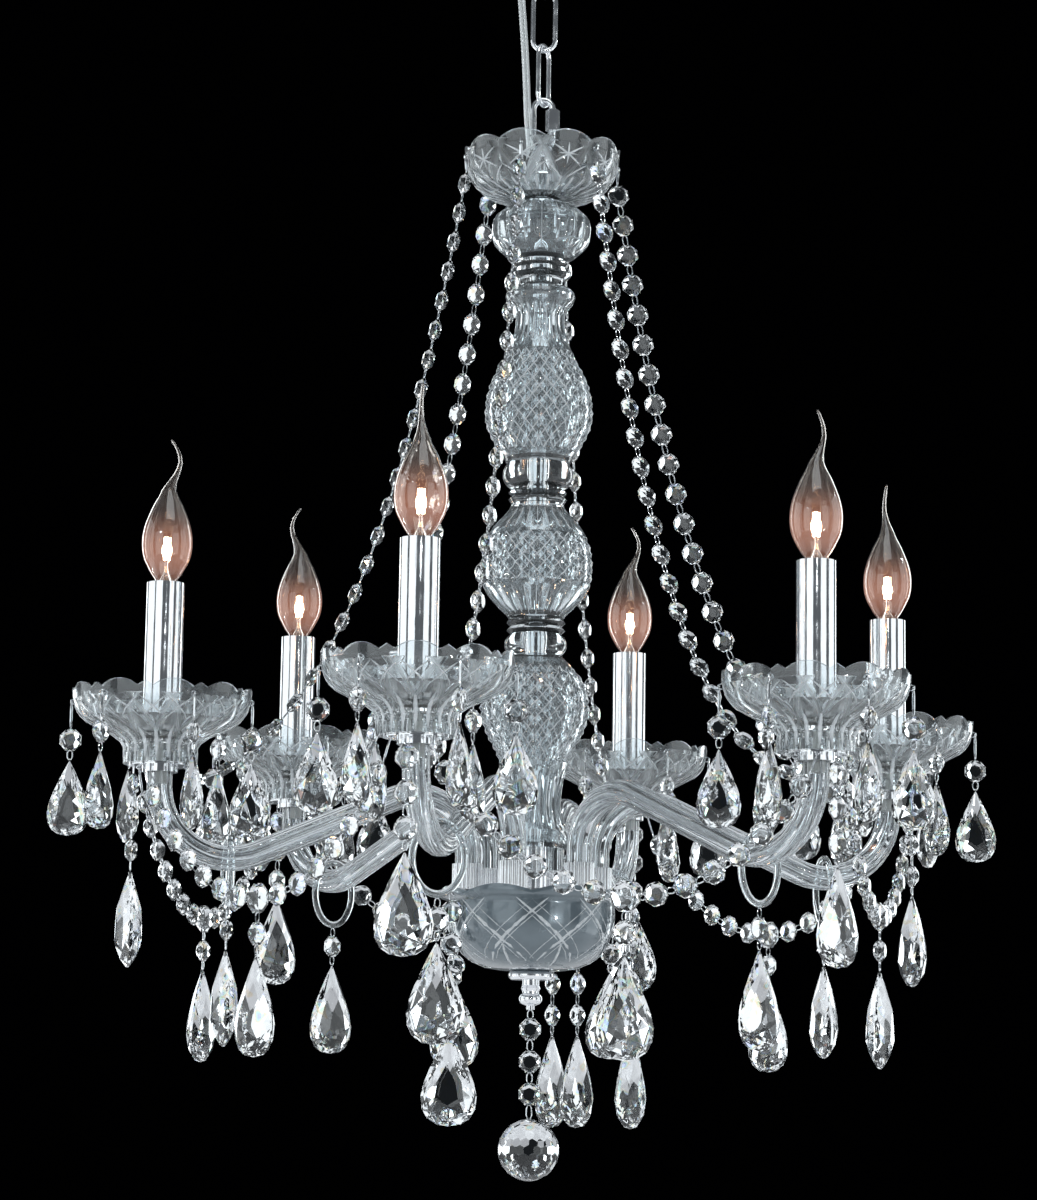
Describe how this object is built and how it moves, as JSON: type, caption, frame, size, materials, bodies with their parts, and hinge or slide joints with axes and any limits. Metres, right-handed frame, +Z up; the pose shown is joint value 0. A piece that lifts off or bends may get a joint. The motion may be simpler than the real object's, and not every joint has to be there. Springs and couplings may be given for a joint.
{
  "type": "crystal chandelier",
  "caption": "Six-light crystal chandelier on a chain: scalloped glass crown and dishes, cut glass column, ribbed S-shaped arms, octagon bead strands and teardrops.",
  "frame": {"origin": "middle of the canopy's rim, on the ceiling", "axes": "+Z up to the ceiling, +X right and -Y towards the picture's viewer"},
  "size_m": [0.6282, 0.6062, 0.8974],
  "materials": {
    "chrome": "polished",
    "clear_glass": "polished",
    "collar_glass": "polished",
    "crystal": "cut and polished",
    "silvered_glass": "silvered",
    "holder": "glazed",
    "flex": "clear over tinned wire",
    "bulb_glass": "polished"
  },
  "bodies": {
    "ceiling": {"ceiling_canopy": "chrome", "canopy_fittings": "chrome"},
    "chandelier": {"chain_link_upper": "chrome", "chain_link_middle": "chrome", "chain_link_lower": "chrome", "quick_link": "chrome", "stem_loop": "chrome", "centre_stem": "chrome", "stem_spacer": "chrome", "arm_plate": "chrome", "bottom_cap": "chrome", "pin_plates": "chrome", "candle_sleeves": "chrome", "crown_dish": "clear_glass", "melon_ball": "clear_glass", "upper_vase": "clear_glass", "middle_ball": "clear_glass", "lower_vase": "clear_glass", "glass_arm_1": "clear_glass", "glass_arm_2": "clear_glass", "glass_arm_3": "clear_glass", "glass_arm_4": "clear_glass", "glass_arm_5": "clear_glass", "glass_arm_6": "clear_glass", "bobeche_1": "clear_glass", "bobeche_2": "clear_glass", "bobeche_3": "clear_glass", "bobeche_4": "clear_glass", "bobeche_5": "clear_glass", "bobeche_6": "clear_glass", "arm_rings": "clear_glass", "upper_collar": "collar_glass", "middle_collar": "collar_glass", "lower_collar": "collar_glass", "bead_strands": "crystal", "dish_drops": "crystal", "hanging_drops": "crystal", "bottom_bowl": "silvered_glass", "lamp_holders": "holder", "supply_cord": "flex"},
    "quick_link_nut": {"quick_link_nut": "chrome"},
    "ball_strand": {"ball_strand": "crystal"},
    "bulb_1": {"bulb_1": "bulb_glass"},
    "bulb_2": {"bulb_2": "bulb_glass"},
    "bulb_3": {"bulb_3": "bulb_glass"},
    "bulb_4": {"bulb_4": "bulb_glass"},
    "bulb_5": {"bulb_5": "bulb_glass"},
    "bulb_6": {"bulb_6": "bulb_glass"},
    "lamp_drop_1": {"lamp_drop_1": "crystal"},
    "lamp_drop_2": {"lamp_drop_2": "crystal"},
    "lamp_drop_3": {"lamp_drop_3": "crystal"},
    "lamp_drop_4": {"lamp_drop_4": "crystal"},
    "lamp_drop_5": {"lamp_drop_5": "crystal"},
    "lamp_drop_6": {"lamp_drop_6": "crystal"},
    "arm_drop_1": {"arm_drop_1": "crystal"},
    "arm_drop_2": {"arm_drop_2": "crystal"},
    "arm_drop_3": {"arm_drop_3": "crystal"},
    "arm_drop_4": {"arm_drop_4": "crystal"},
    "arm_drop_5": {"arm_drop_5": "crystal"},
    "arm_drop_6": {"arm_drop_6": "crystal"}
  },
  "joints": [
    {"name": "chandelier_swing", "type": "hinge", "parent": "ceiling", "child": "chandelier", "pos_m": [0, 0, -0.0565], "axis": [1, 0, 0], "range_deg": [-10, 10], "deforming": ["supply_cord"]},
    {"name": "quick_link_nut_slide", "type": "slide", "parent": "chandelier", "child": "quick_link_nut", "axis": [0, 0, 1], "range_m": [-0.006, 0]},
    {"name": "ball_strand_swing", "type": "hinge", "parent": "chandelier", "child": "ball_strand", "pos_m": [0, 0, -0.7871], "axis": [0, 1, 0], "range_deg": [-12, 12]},
    {"name": "bulb_1_lift", "type": "slide", "parent": "chandelier", "child": "bulb_1", "axis": [0, 0, 1], "range_m": [0, 0.03]},
    {"name": "lamp_drop_1_swing", "type": "hinge", "parent": "chandelier", "child": "lamp_drop_1", "pos_m": [-0.07571, -0.25396, -0.6366], "axis": [-0.2857, -0.9583, 0], "range_deg": [-15, 15]},
    {"name": "arm_drop_1_swing", "type": "hinge", "parent": "chandelier", "child": "arm_drop_1", "pos_m": [-0.05771, -0.19358, -0.7276], "axis": [-0.2857, -0.9583, 0], "range_deg": [-15, 15]},
    {"name": "bulb_2_lift", "type": "slide", "parent": "chandelier", "child": "bulb_2", "axis": [0, 0, 1], "range_m": [0, 0.03]},
    {"name": "lamp_drop_2_swing", "type": "hinge", "parent": "chandelier", "child": "lamp_drop_2", "pos_m": [0.18208, -0.19254, -0.6366], "axis": [0.6871, -0.7266, 0], "range_deg": [-15, 15]},
    {"name": "arm_drop_2_swing", "type": "hinge", "parent": "chandelier", "child": "arm_drop_2", "pos_m": [0.13879, -0.14677, -0.7276], "axis": [0.6871, -0.7266, 0], "range_deg": [-15, 15]},
    {"name": "bulb_3_lift", "type": "slide", "parent": "chandelier", "child": "bulb_3", "axis": [0, 0, 1], "range_m": [0, 0.03]},
    {"name": "lamp_drop_3_swing", "type": "hinge", "parent": "chandelier", "child": "lamp_drop_3", "pos_m": [0.25779, 0.06141, -0.6366], "axis": [0.9728, 0.2317, 0], "range_deg": [-15, 15]},
    {"name": "arm_drop_3_swing", "type": "hinge", "parent": "chandelier", "child": "arm_drop_3", "pos_m": [0.1965, 0.04681, -0.7276], "axis": [0.9728, 0.2317, 0], "range_deg": [-15, 15]},
    {"name": "bulb_4_lift", "type": "slide", "parent": "chandelier", "child": "bulb_4", "axis": [0, 0, 1], "range_m": [0, 0.03]},
    {"name": "lamp_drop_4_swing", "type": "hinge", "parent": "chandelier", "child": "lamp_drop_4", "pos_m": [0.07571, 0.25396, -0.6366], "axis": [0.2857, 0.9583, 0], "range_deg": [-15, 15]},
    {"name": "arm_drop_4_swing", "type": "hinge", "parent": "chandelier", "child": "arm_drop_4", "pos_m": [0.05771, 0.19358, -0.7276], "axis": [0.2857, 0.9583, 0], "range_deg": [-15, 15]},
    {"name": "bulb_5_lift", "type": "slide", "parent": "chandelier", "child": "bulb_5", "axis": [0, 0, 1], "range_m": [0, 0.03]},
    {"name": "lamp_drop_5_swing", "type": "hinge", "parent": "chandelier", "child": "lamp_drop_5", "pos_m": [-0.18208, 0.19254, -0.6366], "axis": [-0.6871, 0.7266, 0], "range_deg": [-15, 15]},
    {"name": "arm_drop_5_swing", "type": "hinge", "parent": "chandelier", "child": "arm_drop_5", "pos_m": [-0.13879, 0.14677, -0.7276], "axis": [-0.6871, 0.7266, 0], "range_deg": [-15, 15]},
    {"name": "bulb_6_lift", "type": "slide", "parent": "chandelier", "child": "bulb_6", "axis": [0, 0, 1], "range_m": [0, 0.03]},
    {"name": "lamp_drop_6_swing", "type": "hinge", "parent": "chandelier", "child": "lamp_drop_6", "pos_m": [-0.25779, -0.06141, -0.6366], "axis": [-0.9728, -0.2317, 0], "range_deg": [-15, 15]},
    {"name": "arm_drop_6_swing", "type": "hinge", "parent": "chandelier", "child": "arm_drop_6", "pos_m": [-0.1965, -0.04681, -0.7276], "axis": [-0.9728, -0.2317, 0], "range_deg": [-15, 15]}
  ]
}
